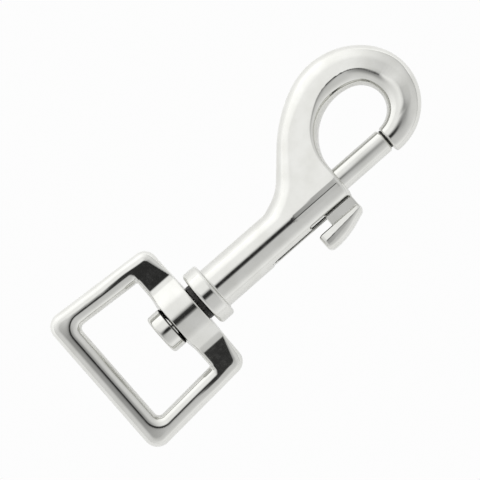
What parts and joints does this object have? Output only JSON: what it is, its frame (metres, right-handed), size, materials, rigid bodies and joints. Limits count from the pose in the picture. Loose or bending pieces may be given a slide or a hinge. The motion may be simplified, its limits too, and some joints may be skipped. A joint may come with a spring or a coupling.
{
  "type": "swivel bolt snap",
  "caption": "Swivel bolt snap: a closed hook with a spring-loaded sliding bolt and thumb tab, and a square swivel eye for flat webbing.",
  "frame": {"origin": "middle of the strap bar's flat bearing face, inside the square eye", "axes": "+X along the barrel towards the hook, +Z out of the eye's broad face, +Y towards the hook's crown"},
  "size_m": [0.0985, 0.0426, 0.0137],
  "materials": {
    "plated_casting": "bright nickel plate over a polished casting",
    "plated_bolt": "bright nickel plate over turned bar",
    "plated_stud": "bright nickel plate over a turned rivet",
    "blackened_washer": "dark, oiled steel",
    "spring_steel": "drawn spring wire"
  },
  "bodies": {
    "snap_body": {"hook_body": "plated_casting", "swivel_stud": "plated_stud", "swivel_washer": "blackened_washer", "bolt_spring": "spring_steel"},
    "sliding_bolt": {"bolt": "plated_bolt", "thumb_tab": "plated_casting"},
    "eye": {"square_eye": "plated_casting"}
  },
  "joints": [
    {"name": "bolt_slide", "type": "slide", "parent": "snap_body", "child": "sliding_bolt", "axis": [-1, 0, 0], "range_m": [0, 0.014], "stiffness_N_per_m": 400, "springref_m": -0.008, "deforming": ["bolt_spring"]},
    {"name": "eye_swivel", "type": "hinge", "parent": "snap_body", "child": "eye", "pos_m": [0.0194, 0, 0], "axis": [1, 0, 0], "continuous": true}
  ]
}
